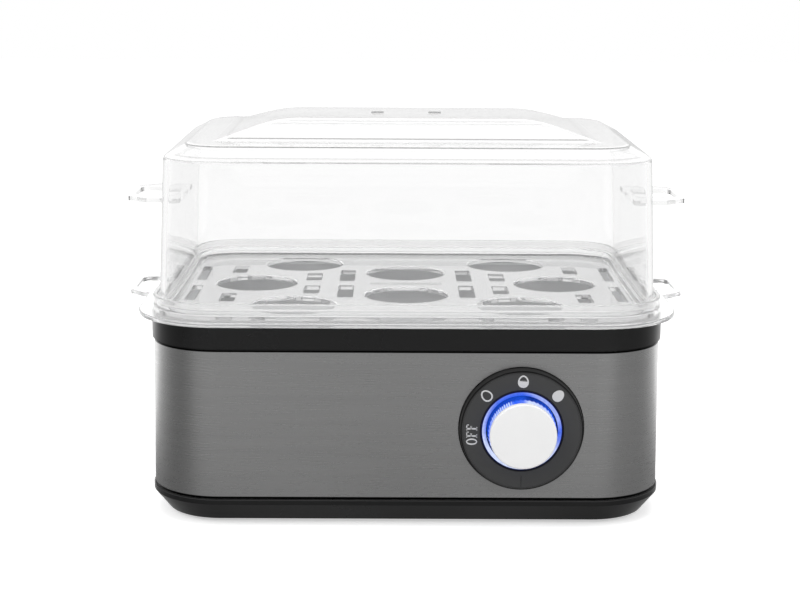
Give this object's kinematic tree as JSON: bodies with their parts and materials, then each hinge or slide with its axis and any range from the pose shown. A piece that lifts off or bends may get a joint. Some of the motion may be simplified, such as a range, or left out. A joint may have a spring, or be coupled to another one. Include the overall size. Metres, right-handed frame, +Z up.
{
  "type": "electric egg cooker",
  "caption": "Electric egg cooker: heated base with a lit knob, clear lift-off egg rack with finger loops and a tall clear lid.",
  "frame": {"origin": "middle of the footprint box, on the table", "axes": "+X along the front to the dial side, +Y to the back, +Z up"},
  "size_m": [0.2422, 0.1808, 0.1634],
  "materials": {
    "black_plastic": "fine satin moulding",
    "brushed_steel": "long horizontal brushing, dark tinted",
    "dial_grey": "satin print",
    "clear_plastic": "clear polished moulding",
    "light_guide": "clear, lit blue from behind",
    "cap_silver": "satin silver white",
    "pan_coating": "grey satin fired coating",
    "silicone": "matt silicone",
    "rubber": "matt rubber",
    "aluminium": "rolled",
    "element_steel": "annealed tube",
    "zinc_steel": "zinc plated",
    "brass": "bare brass",
    "ceramic": "unglazed",
    "board_green": "solder mask",
    "lamp": "blue lamp",
    "wire_sleeve": "glass-fibre sleeve"
  },
  "bodies": {
    "base": {"rubber_feet": "rubber", "base_tray": "black_plastic", "steel_band": "brushed_steel", "top_collar": "black_plastic", "case_screws": "zinc_steel", "pan_seal": "silicone", "heating_pan": "pan_coating", "spreader_plate": "aluminium", "heating_element": "element_steel", "element_terminals": "zinc_steel", "pan_studs": "zinc_steel", "stud_nuts": "zinc_steel", "stud_sleeves": "zinc_steel", "heat_shield": "zinc_steel", "limit_thermostat": "ceramic", "thermal_fuse": "ceramic", "fuse_clip": "zinc_steel", "dial_surround": "black_plastic", "dial_plate": "dial_grey", "light_ring": "light_guide", "light_board": "board_green", "lights": "lamp", "dial_carrier": "black_plastic", "carrier_screws": "zinc_steel", "regulator_body": "ceramic", "regulator_nut": "brass", "cord_entry": "rubber", "cord_clamp": "black_plastic", "clamp_screws": "zinc_steel", "terminal_block": "ceramic", "inner_leads": "wire_sleeve"},
    "knob": {"knob_spindle": "zinc_steel", "knob_skirt": "light_guide", "knob_cap": "cap_silver", "spindle_clip": "zinc_steel"},
    "egg_rack": {"egg_rack": "clear_plastic"},
    "lid": {"lid": "clear_plastic"}
  },
  "joints": [
    {"name": "knob_turn", "type": "hinge", "parent": "base", "child": "knob", "pos_m": [0.0468, -0.07741, 0.0424], "axis": [0, 1, 0], "range_deg": [0, 135]},
    {"name": "rack_lift", "type": "slide", "parent": "base", "child": "egg_rack", "axis": [0, 0, 1], "range_m": [0, 0.08]},
    {"name": "lid_lift", "type": "slide", "parent": "egg_rack", "child": "lid", "axis": [0, 0, 1], "range_m": [0, 0.12]}
  ]
}
